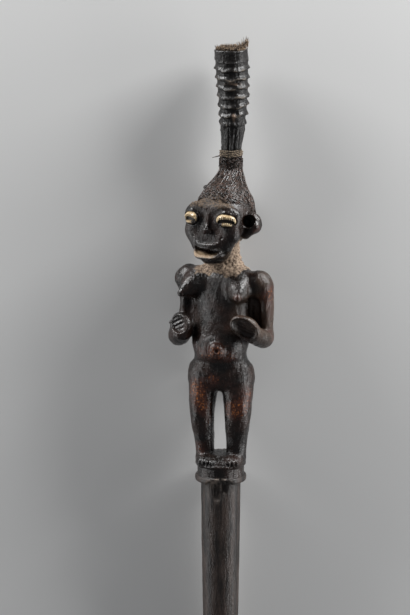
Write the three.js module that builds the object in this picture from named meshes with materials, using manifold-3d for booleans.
// Carved sceptre: a woman standing on a collared round shaft, hands held before
// the belly, with an antelope horn set point down in the crown of the hair.
// It lies on its back. Millimetres, +Y runs up the staff, +Z is the figure's front.

import * as THREE from 'three';
import Module from 'manifold-3d';
import { mergeVertices } from 'three/addons/utils/BufferGeometryUtils.js';

const wasm = await Module();
wasm.setup();

// Driving sizes. A height is counted up the staff from the top of the collar.
const SHAFT_FOOT = -255;
const SHAFT_TOP_RADIUS = 12.2;
const SHAFT_FOOT_RADIUS = 9;
const FOOT_BEVEL = 1.5;
const COLLAR_RADIUS = 15.3;
const COLLAR_STEP = -7.8;
const COLLAR_BOTTOM = -11.8;
const CROTCH = 46;
const HIP = 56;
const WAIST = 68;
const NAVEL = 73;
const HAND = 88;
const ELBOW = 77;
const NIPPLE = 107;
const SHOULDER = 113;
const CHIN = 126.5;
const MOUTH = 134.6;
const EYE = 153;
const BROW = 159;
const CROWN = 180;
const SOCKET_TOP = 187;
const HORN_TOP = 252;

// The carving twists up the staff: the feet look ahead, the head a quarter right.
const LEG_TURN = 8;
const BELLY_TURN = 9;
const CHEST_TURN = 28;
const HEAD_TURN = 31;

// Set-back of the horn and crown behind the staff's axis.
const HORN_BACK = -11.5;
const HORN_FOOT_RADIUS = 5.8;
const HORN_MOUTH_RADIUS = 10.4;
const HORN_TIP_RADIUS = 3.6;
const HORN_TIP_DEPTH = 5.4;
const RING_COUNT = 7;
const RING_PITCH = 5.4;
const RING_HEIGHT = 0.75;
const LAST_RING = 247;
const BORE_DEPTH = 14;
const BORE_RADIUS = 6.4;
const BORE_FLARE = 0.12;
const FIT = 0.3;

// The shells let in as eyes: distance from the face's middle and half sizes.
const EYE_OUT = 12;
const SHELL = [6, 4.1, 2.9];

// Lying on its back it tips up to the head and rolls a little towards its left;
// what it touches is worn flat by REST_WEAR.
const REST_TILT = 2.02;
const REST_ROLL = 3.1;
const REST_WEAR = 0.4;

const degrees = THREE.MathUtils.degToRad;
const mix = THREE.MathUtils.lerp;
const smooth = THREE.MathUtils.smoothstep;

// Angle, in radians, by which the carving is turned at a height.
function turnAt(height) {
  const low = mix(LEG_TURN, BELLY_TURN, smooth(height, 0, NAVEL));
  const high = mix(low, CHEST_TURN, smooth(height, NAVEL, NIPPLE - 9));
  return degrees(mix(high, HEAD_TURN, smooth(height, SHOULDER, CHIN)));
}

// A point given to the figure's left, up and forward, in the staff's frame.
function at(side, height, forward) {
  const turn = turnAt(height);
  const x = side * Math.cos(turn) - forward * Math.sin(turn);
  const z = side * Math.sin(turn) + forward * Math.cos(turn);
  return new THREE.Vector3(x, height, z);
}

// Closed solid from a three.js geometry, with its faces turned outward.
function solid(geometry) {
  geometry.deleteAttribute('normal');
  geometry.deleteAttribute('uv');
  const merged = mergeVertices(geometry, 1e-4);
  const points = merged.attributes.position.array;
  const index = merged.index.array;
  const faces = [];
  const corners = [new THREE.Vector3(), new THREE.Vector3(), new THREE.Vector3()];
  let volume = 0;
  for (let i = 0; i < index.length; i += 3) {
    const [a, b, c] = [index[i], index[i + 1], index[i + 2]];
    if (a === b || b === c || c === a) continue;
    faces.push(a, b, c);
    corners.forEach((corner, k) => corner.fromArray(points, 3 * index[i + k]));
    volume += corners[0].dot(corners[1].cross(corners[2]));
  }
  if (volume < 0) faces.reverse();
  const mesh = new wasm.Mesh({
    numProp: 3,
    vertProperties: Float32Array.from(points),
    triVerts: Uint32Array.from(faces),
  });
  return new wasm.Manifold(mesh);
}

const join = (solids) => solids.reduce((sum, next) => sum.add(next));

// Ellipsoid at a body point, turned with the body and by its own yaw and lean.
function ball([side, height, forward], [w, h, d], { yaw = 0, lean = 0, sides = 10 } = {}) {
  const geometry = new THREE.SphereGeometry(1, sides, Math.round(sides * 0.6));
  geometry.scale(w, h, d);
  geometry.rotateZ(degrees(lean));
  geometry.rotateY(degrees(yaw) - turnAt(height));
  geometry.translate(...at(side, height, forward).toArray());
  return solid(geometry);
}

// Two balls of any size with the cone that touches both.
function roundCone(from, to, r0, r1, sides = 10, steps = 3) {
  const a = at(...from);
  const b = at(...to);
  const axis = b.clone().sub(a);
  const length = axis.length();
  const touch = Math.asin((r0 - r1) / length);
  const profile = [];
  for (let i = 0; i <= steps; i++) {
    const angle = mix(-Math.PI / 2, touch, i / steps);
    profile.push(new THREE.Vector2(r0 * Math.cos(angle), r0 * Math.sin(angle)));
  }
  for (let i = 0; i <= steps; i++) {
    const angle = mix(touch, Math.PI / 2, i / steps);
    profile.push(new THREE.Vector2(r1 * Math.cos(angle), length + r1 * Math.sin(angle)));
  }
  profile[0].x = 0;
  profile[profile.length - 1].x = 0;
  const geometry = new THREE.LatheGeometry(profile, sides);
  const up = new THREE.Vector3(0, 1, 0);
  geometry.applyQuaternion(new THREE.Quaternion().setFromUnitVectors(up, axis.normalize()));
  geometry.translate(a.x, a.y, a.z);
  return solid(geometry);
}

// Round body with a changing girth along a smooth curve through body points, each
// point being side, height, forward and radius; both ends are blunt.
function limb(points, sides = 8, rowsPerSpan = 2) {
  const curve = new THREE.CatmullRomCurve3(points.map(([s, h, f]) => at(s, h, f)));
  const spans = points.length - 1;
  const rows = spans * rowsPerSpan;
  const frames = curve.computeFrenetFrames(rows);
  const profile = [];
  for (let j = 0; j <= rows + 2; j++) {
    profile.push(new THREE.Vector2(j === 0 || j === rows + 2 ? 0 : 1, j));
  }
  const geometry = new THREE.LatheGeometry(profile, sides);
  const position = geometry.attributes.position;
  for (let j = 0; j <= rows + 2; j++) {
    const row = THREE.MathUtils.clamp(j - 1, 0, rows);
    const span = Math.min(Math.floor(row / rowsPerSpan), spans - 1);
    const radius = mix(points[span][3], points[span + 1][3], row / rowsPerSpan - span);
    const centre = curve.getPoint(row / rows);
    const capped = j === 0 || j === rows + 2;
    const cap = capped ? Math.sign(j - 1) * radius * 0.55 : 0;
    for (let i = 0; i <= sides; i++) {
      const angle = (i % sides) / sides * 2 * Math.PI;
      const point = centre.clone().addScaledVector(frames.tangents[row], cap);
      if (!capped) {
        point.addScaledVector(frames.normals[row], radius * Math.cos(angle));
        point.addScaledVector(frames.binormals[row], radius * Math.sin(angle));
      }
      position.setXYZ(i * (rows + 3) + j, point.x, point.y, point.z);
    }
  }
  return solid(geometry);
}

// Closed body through level outlines. A level has its height, middle (side), half
// width, back and front reach, and roundness: 2 is an ellipse, more is squarer.
function loft(levels, sides, relief = () => 1, place = at) {
  const [first, last] = [levels[0], levels[levels.length - 1]];
  const rows = [first, ...levels, last];
  const profile = rows.map((level, j) => {
    const onAxis = j === 0 || j === rows.length - 1;
    return new THREE.Vector2(onAxis ? 0 : 1, level.h);
  });
  const geometry = new THREE.LatheGeometry(profile, sides);
  const position = geometry.attributes.position;
  for (let i = 0; i <= sides; i++) {
    const angle = (i % sides) / sides * 2 * Math.PI;
    for (let j = 0; j < rows.length; j++) {
      const { h, s = 0, w, back, front, round = 2 } = rows[j];
      const onAxis = j === 0 || j === rows.length - 1;
      const swell = onAxis ? 0 : relief(angle, h);
      const [c, q] = [Math.cos(angle), Math.sin(angle)];
      const middle = (front + back) / 2;
      const reach = (front - back) / 2;
      const across = Math.sign(c) * Math.abs(c) ** (2 / round);
      const along = Math.sign(q) * Math.abs(q) ** (2 / round);
      const point = place(s + w * across * swell, h, middle + reach * along * swell);
      position.setXYZ(i * rows.length + j, point.x, point.y, point.z);
    }
  }
  return solid(geometry);
}

// Solid turned on the staff's own axis from a profile of radius and height.
function turned(profile, sides) {
  return solid(new THREE.LatheGeometry(profile.map(([r, h]) => new THREE.Vector2(r, h)), sides));
}

const bothSides = (make) => join([make(1), make(-1)]);

// Round shaft with a collar of two steps; flakes are missing at the collar's front.
function shaft() {
  const middle = mix(SHAFT_TOP_RADIUS, SHAFT_FOOT_RADIUS, 0.3);
  const body = turned([
    [0, SHAFT_FOOT],
    [SHAFT_FOOT_RADIUS - FOOT_BEVEL, SHAFT_FOOT],
    [SHAFT_FOOT_RADIUS, SHAFT_FOOT + FOOT_BEVEL],
    [middle, -90],
    [SHAFT_TOP_RADIUS, COLLAR_BOTTOM - 8],
    [SHAFT_TOP_RADIUS, COLLAR_BOTTOM],
    [COLLAR_RADIUS, COLLAR_BOTTOM + 0.9],
    [COLLAR_RADIUS + 0.4, COLLAR_STEP - 1],
    [COLLAR_RADIUS - 0.5, COLLAR_STEP],
    [COLLAR_RADIUS - 0.7, -2],
    [COLLAR_RADIUS, -1.2],
    [COLLAR_RADIUS - 0.6, 0],
    [0, 0],
  ], 24);
  const flake = new THREE.SphereGeometry(1, 10, 6);
  flake.scale(13.5, 3.6, 4.6);
  flake.translate(-0.5, COLLAR_STEP - 3, COLLAR_RADIUS + 1);
  const scar = new THREE.SphereGeometry(1, 10, 8);
  scar.scale(9.5, 11, 4);
  scar.translate(-1, COLLAR_BOTTOM - 1, SHAFT_TOP_RADIUS + 2.9);
  return body.subtract(solid(flake)).subtract(solid(scar));
}

// Short sturdy legs, a little bent, on small feet with toes at the collar's rim.
function leg(side) {
  const slim = side > 0 ? 1.04 : 0.96;
  const level = (h, s, w, back, front) => ({ h, s: side * s, w: w * slim, back, front });
  const calfAndThigh = loft([
    level(1, 9.4, 5.9, -6, 6.5),
    level(9, 9.8, 6, -5.6, 6.8),
    level(17, 10.2, 6.5, -5, 8.8),
    level(27, 10.9, 7.5, -3.6, 12),
    level(36, 11, 8.2, -6.6, 12.8),
    level(45, 10.6, 9.2, -11, 12.2),
    level(54, 9.6, 9.8, -13, 11),
    level(60, 8.6, 8.4, -10, 9),
  ], 12);
  const foot = ball([side * 8.9, 2.4, 3.6], [5.6, 4, 9], { yaw: side * 4 });
  const toes = [];
  for (let i = 0; i < 4; i++) {
    const across = side * (5.6 + 2.1 * i);
    toes.push(ball([across, 1.9, 12.4 - 0.5 * i], [1.2, 1.8, 2], { sides: 6 }));
  }
  return join([calfAndThigh, foot, ...toes]);
}

// Pelvis, belly, chest and neck in one twisting body.
function torso() {
  return loft([
    { h: CROTCH, w: 14, back: -11, front: 9 },
    { h: 50, w: 19.2, back: -14, front: 12 },
    { h: HIP, w: 20.4, back: -14.5, front: 13.4 },
    { h: 61, w: 19, back: -13.8, front: 13.4 },
    { h: 64.5, w: 16.6, back: -13, front: 13.2 },
    { h: WAIST, w: 16, back: -12.8, front: 16.2 },
    { h: NAVEL + 2, w: 17.2, back: -13.5, front: 17.2 },
    { h: 84, w: 17.4, back: -15, front: 13.8 },
    { h: 95, w: 17.2, back: -16.5, front: 10.4 },
    { h: 105, w: 18.5, back: -17.2, front: 8.8 },
    { h: SHOULDER, w: 20.5, back: -16.6, front: 7.4 },
    { h: 119, w: 17.5, back: -15.2, front: 5 },
    { h: 122.5, w: 12, back: -14.2, front: 3.4 },
    { h: 128, w: 8.8, back: -14, front: 2.6 },
    { h: 142, w: 8.4, back: -14.5, front: 3 },
  ], 16);
}

// Buttocks, navel and the low ledge that joins the feet.
function trunkForms() {
  const seat = bothSides((side) => ball([side * 8.6, 52, -9.5], [9.6, 10, 8.6]));
  const navel = ball([0, NAVEL, 16.8], [4.7, 5, 3.4], { sides: 8 });
  const ledge = loft([
    { h: -1, w: 13, back: -11, front: 9.5 },
    { h: 4.6, w: 12, back: -10, front: 8 },
  ], 10);
  return join([seat, navel, ledge]);
}

// Cone-shaped breast pointing out and down, with its nipple.
function breast(side) {
  const base = [side * 13 - 0.6, 111.5, 2];
  const bud = [side * 18 - 0.6, NIPPLE + 1, 10];
  const cone = roundCone(base, bud, 7.4, 4.2);
  const nipple = roundCone(bud, [side * 19.4 - 0.6, NIPPLE - 0.4, 13.6], 2.8, 1.7, 8, 1);
  return cone.add(nipple);
}

// Flat upper arm from a round shoulder, left joined to the back by a web of wood;
// the thick forearm comes forward to a hand held before the belly.
function arm(side) {
  const level = (h, s, w, back, front) => ({ h, s: side * s, w, back, front });
  const upper = loft([
    level(ELBOW - 4, 26, 3.6, -10.5, -2.5),
    level(ELBOW, 26.6, 4.2, -12, 0),
    level(86, 27, 3.7, -12, -1.6),
    level(97, 27.7, 3.4, -12.4, -2.4),
    level(106, 27.2, 4.2, -12.2, -0.6),
    level(SHOULDER + 1, 25, 6.2, -11, 3.2),
    level(119, 21.5, 5.4, -9, 1.6),
  ], 8);
  const shoulder = ball([side * 24.2, SHOULDER - 0.4, -3.4], [8.2, 8.4, 7.4]);
  const forearm = limb([
    [side * 26, ELBOW + 0.2, -7, 5],
    [side * 26, 79, 3, 6],
    [side * 21.8, 84.5, 11.5, 6.6],
  ], 8);
  const web = loft([
    level(ELBOW + 3, 21, 6.5, -13, -8),
    level(96, 21, 7, -14.5, -9),
    level(SHOULDER - 2, 20, 7, -13, -7),
  ], 8);
  return join([upper, shoulder, forearm, web, hand(side)]);
}

// Spoon-shaped hand, thumb side up, with four fingers cut side by side.
function hand(side) {
  const pose = { yaw: side * 20, lean: side * -22, sides: 8 };
  const palm = ball([side * 18.6, HAND - 0.6, 14.6], [8.8, 7.6, 4], pose);
  const fingers = [];
  for (let i = 0; i < 4; i++) {
    const row = (i - 1.5) * 3.2;
    const root = [side * (24.4 + 0.3 * row), HAND - 4.4 + 0.9 * row, 14.6];
    const tip = [side * (13.4 + 0.35 * row), HAND + 1.4 + 0.9 * row, 17.8];
    fingers.push(limb([[...root, 2], [...tip, 1.7]], 6, 1));
  }
  return join([palm, ...fingers]);
}

// Head from chin to crown, full behind and flat in the face.
function skull() {
  return loft([
    { h: CHIN, w: 4.6, back: 4, front: 13 },
    { h: 129, w: 8, back: 0, front: 15.4 },
    { h: 134, w: 10.2, back: -4, front: 16, round: 2.3 },
    { h: 140, w: 12.6, back: -10, front: 16.2, round: 2.4 },
    { h: 146, w: 15.6, back: -15, front: 15.8, round: 2.5 },
    { h: 152, w: 16.8, back: -19, front: 15, round: 2.5 },
    { h: 158, w: 16.4, back: -21, front: 15, round: 2.4 },
    { h: 163, w: 14.6, back: -21, front: 13 },
    { h: 168, w: 11.2, back: -19.4, front: 8.4 },
    { h: 174, w: 7.4, back: -16.5, front: 0.5 },
  ], 16);
}

// Brows, cheeks, wedge nose and the open crescent mouth, alike on both sides.
function faceForms() {
  const cheeks = bothSides((side) => ball([side * 11.6, 145, 11], [5.6, 6, 5], { sides: 8 }));
  const orbits = bothSides((side) => {
    const pose = { yaw: side * 25, sides: 8 };
    return ball([side * EYE_OUT, EYE, 11.2], [6.5, 6.4, 5.3], pose);
  });
  const brows = bothSides((side) => limb([
    [side * 1.6, BROW - 2, 14.6, 2.4],
    [side * 9.5, BROW + 0.4, 14.2, 2.3],
    [side * 15.4, BROW - 2.6, 10, 2.1],
  ], 6));
  const nose = limb([[0, EYE + 1, 15, 1.4], [0, 146, 17.6, 2.2]], 6);
  const wings = bothSides((side) => ball([side * 2.2, 145.4, 16.5], [1.9, 1.7, 1.9], { sides: 6 }));
  const lip = (end, mid, bow, forward, radius) => limb([
    [-9.6, end, forward - 4.4, radius * 0.6],
    [-5.2, mid, forward - 1, radius],
    [0, mid - bow, forward, radius * 1.1],
    [5.2, mid, forward - 1, radius],
    [9.6, end, forward - 4.4, radius * 0.6],
  ], 6, 1);
  const upperLip = lip(139.4, 137, 1.2, 17.2, 1.9);
  const lowerLip = lip(133.4, 130.2, 1.2, 16.4, 1.6);
  return join([cheeks, orbits, brows, nose, wings, upperLip, lowerLip]);
}

// Cut between the lips.
function mouthOpening() {
  return limb([
    [-9, MOUTH + 1.6, 14, 1.1],
    [-4.6, MOUTH - 1, 17, 1.7],
    [0, MOUTH - 1.8, 17.8, 1.8],
    [4.6, MOUTH - 1, 17, 1.7],
    [9, MOUTH + 1.6, 14, 1.1],
  ], 6, 1);
}

// Conch-shaped ear standing out from the head, hollow in front.
function ear(side) {
  const shell = ball([side * 18.2, 149, -5], [5.2, 7.4, 4.2], { lean: side * 24, yaw: side * 30 });
  const hollow = ball([side * 18.6, 151, -1], [2.8, 4, 3.4], { lean: side * 14, sides: 8 });
  return shell.subtract(hollow);
}

// Matted strands: raised rolls that run slantwise down the hair.
function strands(angle, height) {
  const roll = Math.abs(Math.sin(5 * angle + 0.16 * height));
  return 1 + 0.045 * roll;
}

// Hair drawn up to the horn, from the hairline over the brow to the nape.
function hair() {
  return loft([
    { h: 137, w: 8, back: -16, front: -3 },
    { h: 143, w: 13, back: -19.5, front: -1 },
    { h: 150, w: 15.6, back: -22.4, front: 1 },
    { h: 157, w: 15.8, back: -23.6, front: 7 },
    { h: 162.5, w: 14.4, back: -23.2, front: 13.2, round: 2.2 },
    { h: 166.5, w: 12.6, back: -21.6, front: 11.4 },
    { h: 171, w: 10.4, back: -19.6, front: 5.6 },
    { h: 175.5, w: 8.2, back: -18, front: -1 },
    { h: CROWN, w: 6.3, back: -17.6, front: -5.2 },
    { h: SOCKET_TOP, w: 6.1, back: -17.6, front: -5.4 },
  ], 30, (angle, height) => (height > CROWN ? 1 : strands(angle, height)));
}

// Place on the horn's own axis, which bows a little as it rises.
function onHorn(x, height, z) {
  const foot = at(0, CROWN, HORN_BACK);
  const rise = (height - SOCKET_TOP) / (HORN_TOP - SOCKET_TOP);
  const bow = 1.3 * Math.sin(Math.PI * THREE.MathUtils.clamp(rise, 0, 1));
  return new THREE.Vector3(foot.x + bow + x, height, foot.z + z);
}

// Outer radius of the horn: a taper that carries worn rings above its lower third.
function hornRadius(height) {
  const rise = THREE.MathUtils.clamp((height - SOCKET_TOP) / (HORN_TOP - SOCKET_TOP), 0, 1);
  const taper = mix(HORN_FOOT_RADIUS, HORN_MOUTH_RADIUS, Math.sin(rise * Math.PI / 2) ** 1.35);
  const ringed = smooth(height, 202, 214);
  const phase = (LAST_RING - height) / RING_PITCH * 2 * Math.PI;
  return taper + ringed * RING_HEIGHT * Math.cos(phase);
}

// Horn set point down: its tip enters the crown, its wide mouth is open above.
function horn() {
  const levels = [
    { h: SOCKET_TOP - HORN_TIP_DEPTH, r: HORN_TIP_RADIUS },
    { h: SOCKET_TOP + 0.4, r: HORN_TIP_RADIUS + 0.4 },
    { h: SOCKET_TOP + 0.7, r: HORN_FOOT_RADIUS - 0.6 },
    { h: SOCKET_TOP + 2, r: hornRadius(SOCKET_TOP + 2) },
    { h: 197, r: hornRadius(197) },
    { h: 203, r: hornRadius(203) },
  ];
  for (let half = 2 * RING_COUNT; half >= 0; half--) {
    const h = LAST_RING - half * RING_PITCH / 2;
    levels.push({ h, r: hornRadius(h) });
  }
  levels.push({ h: HORN_TOP, r: HORN_MOUTH_RADIUS - 0.5 });
  const outline = levels.map(({ h, r }) => ({ h, w: r, back: -r, front: r }));
  const lift = (x, height, z) => {
    const point = onHorn(x, height, z);
    const chip = 3.4 * Math.exp(-(((x - 9.4) / 2.2) ** 2) - (((z - 1) / 4) ** 2));
    point.y += height >= HORN_TOP ? chip : 0;
    return point;
  };
  const body = loft(outline, 16, () => 1, lift);
  return body.subtract(hornBore(0));
}

// The space in the horn's mouth, or the packing that fills it with a loose fit.
function hornBore(fit, top = HORN_TOP + 6) {
  const bottom = HORN_TOP - BORE_DEPTH;
  const levels = [bottom + fit, bottom + 7, top].map((h) => {
    const radius = BORE_RADIUS + BORE_FLARE * (h - bottom) - fit;
    return { h, w: radius, back: -radius, front: radius };
  });
  return loft(levels, 10, () => 1, onHorn);
}

// Fibre packing, heaped a little out of the horn's mouth.
function packing() {
  const heap = loft([
    { h: HORN_TOP - 1, w: 6.5, back: -6, front: 6 },
    { h: HORN_TOP + 1.4, w: 7, back: -6.6, front: 6.6 },
    { h: HORN_TOP + 2.6, w: 4.8, back: -4.6, front: 4 },
  ], 10, (angle, height) => 1 + 0.06 * Math.sin(3 * angle + height), onHorn);
  return hornBore(FIT, HORN_TOP - 0.2).add(heap);
}

// Cord wound three times round the horn's foot, with a short loose end.
function binding() {
  const cord = 0.75;
  const turns = 3;
  const inner = hornRadius(SOCKET_TOP + 7) + 1.5 * FIT;
  const profile = [new THREE.Vector2(inner, SOCKET_TOP + 1.4)];
  for (let i = 0; i < turns; i++) {
    const middle = SOCKET_TOP + 1.6 + cord * (2 * i + 1);
    profile.push(new THREE.Vector2(inner + cord, middle - cord));
    profile.push(new THREE.Vector2(inner + 2 * cord, middle));
  }
  profile.push(new THREE.Vector2(inner, SOCKET_TOP + 1.8 + 2 * cord * turns));
  profile.push(profile[0].clone());
  const coil = new THREE.LatheGeometry(profile, 12);
  const seat = onHorn(0, SOCKET_TOP + 4, 0);
  coil.translate(seat.x, 0, seat.z);
  const start = seat.clone().add(new THREE.Vector3(-inner - cord, 0, 1));
  const route = new THREE.CatmullRomCurve3([
    start,
    start.clone().add(new THREE.Vector3(-2.2, -0.6, 0.6)),
    start.clone().add(new THREE.Vector3(-4.2, -0.4, 1)),
  ]);
  const section = new THREE.Shape().absarc(0, 0, 0.4, 0, 2 * Math.PI);
  const end = new THREE.ExtrudeGeometry(section, { extrudePath: route, steps: 4, curveSegments: 3 });
  return solid(coil).add(solid(end));
}

// Cowrie shell set in the eye, long side across, its slit outward.
function cowrie(side, grow = 0) {
  const size = SHELL.map((half) => half + grow);
  const pose = { yaw: side * 25, lean: side * -3 };
  const shell = ball([side * EYE_OUT, EYE, 14.3], size, pose);
  if (grow > 0) return shell;
  const slit = ball([side * (EYE_OUT + 1.3), EYE, 17.3], [4.8, 0.6, 1.3], pose);
  return shell.subtract(slit);
}

// The one piece of wood: shaft, collar and figure with its hair.
function figure() {
  const body = join([
    shaft(), bothSides(leg), torso(), trunkForms(), bothSides(breast), bothSides(arm),
    skull(), faceForms(), bothSides(ear), hair(),
  ]);
  const round = (h, r) => ({ h, w: r, back: -r, front: r });
  const socket = loft([
    round(SOCKET_TOP - HORN_TIP_DEPTH - FIT, HORN_TIP_RADIUS + FIT),
    round(SOCKET_TOP + 2, HORN_TIP_RADIUS + 0.4 + FIT),
  ], 20, () => 1, onHorn);
  return body
    .subtract(mouthOpening())
    .subtract(socket)
    .subtract(cowrie(1, FIT))
    .subtract(cowrie(-1, FIT))
    .subtract(restingPlane());
}

// The turn from the staff's own frame to the lying pose.
const restTurn = new THREE.Matrix4().makeRotationFromEuler(
  new THREE.Euler(degrees(REST_TILT), degrees(REST_ROLL), 0, 'YXZ'),
);

// Everything under the surface that the sceptre lies on, in the staff's frame.
function restingPlane() {
  const heel = new THREE.Vector3(0, SHAFT_FOOT + FOOT_BEVEL, 0).applyMatrix4(restTurn);
  const ground = new THREE.BoxGeometry(200, 800, 60);
  ground.translate(0, 0, heel.z - SHAFT_FOOT_RADIUS + REST_WEAR - 30);
  ground.applyMatrix4(restTurn.clone().invert());
  return solid(ground);
}

const LOOKS = {
  blackenedWood: { color: 0x2a1d18, roughness: 0.38, metalness: 0 },
  blackHorn: { color: 0x1c1917, roughness: 0.35, metalness: 0 },
  plantFibre: { color: 0x6b5038, roughness: 0.95, metalness: 0 },
  cord: { color: 0x8c7452, roughness: 0.9, metalness: 0 },
  agedShell: { color: 0xb59c74, roughness: 0.55, metalness: 0 },
};

// Mesh of one piece, named for it.
function piece(name, body, look) {
  const { vertProperties, triVerts, numProp } = body.getMesh();
  const geometry = new THREE.BufferGeometry();
  const count = vertProperties.length / numProp;
  const points = new Float32Array(3 * count);
  for (let i = 0; i < count; i++) {
    points.set(vertProperties.subarray(i * numProp, i * numProp + 3), 3 * i);
  }
  geometry.setAttribute('position', new THREE.BufferAttribute(points, 3));
  geometry.setIndex(new THREE.BufferAttribute(triVerts, 1));
  geometry.computeVertexNormals();
  const mesh = new THREE.Mesh(geometry, new THREE.MeshStandardMaterial(look));
  mesh.name = name;
  return mesh;
}

const staff = new THREE.Group();
staff.add(piece('figure_and_shaft', figure(), LOOKS.blackenedWood));
staff.add(piece('antelope_horn', horn(), LOOKS.blackHorn));
staff.add(piece('horn_packing', packing(), LOOKS.plantFibre));
staff.add(piece('cord_binding', binding(), LOOKS.cord));
staff.add(piece('left_eye_cowrie', cowrie(1), LOOKS.agedShell));
staff.add(piece('right_eye_cowrie', cowrie(-1), LOOKS.agedShell));
staff.setRotationFromMatrix(restTurn);

// The origin is under the middle of the sceptre, on the surface that it lies on.
const sceptre = new THREE.Group();
sceptre.add(staff);
sceptre.updateMatrixWorld(true);
const bounds = new THREE.Box3().setFromObject(sceptre, true);
const middle = bounds.getCenter(new THREE.Vector3());
staff.position.set(-middle.x, -middle.y, -bounds.min.z);

export default sceptre;
